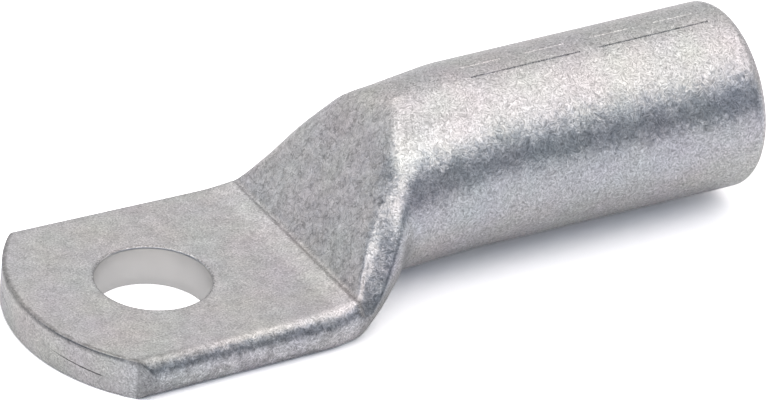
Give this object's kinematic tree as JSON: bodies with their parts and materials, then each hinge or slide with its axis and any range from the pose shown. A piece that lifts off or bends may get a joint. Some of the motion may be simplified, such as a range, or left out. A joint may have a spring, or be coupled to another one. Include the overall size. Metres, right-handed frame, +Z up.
{
  "type": "compression cable lug",
  "caption": "Tin-plated copper tube with one end pressed flat and drilled for a bolt, and the other left round to be crimped on a cable.",
  "frame": {"origin": "centre of the bolt hole on the underside of the palm, which is the contact face", "axes": "+X along the lug towards the mouth of the barrel, +Z up from the contact face along the bolt hole, +Y to the left when looking towards +X"},
  "size_m": [0.088, 0.0318, 0.022],
  "materials": {
    "tinned_copper": "dull tin plate"
  },
  "bodies": {
    "root": {"cable_lug": "tinned_copper"}
  },
  "joints": []
}
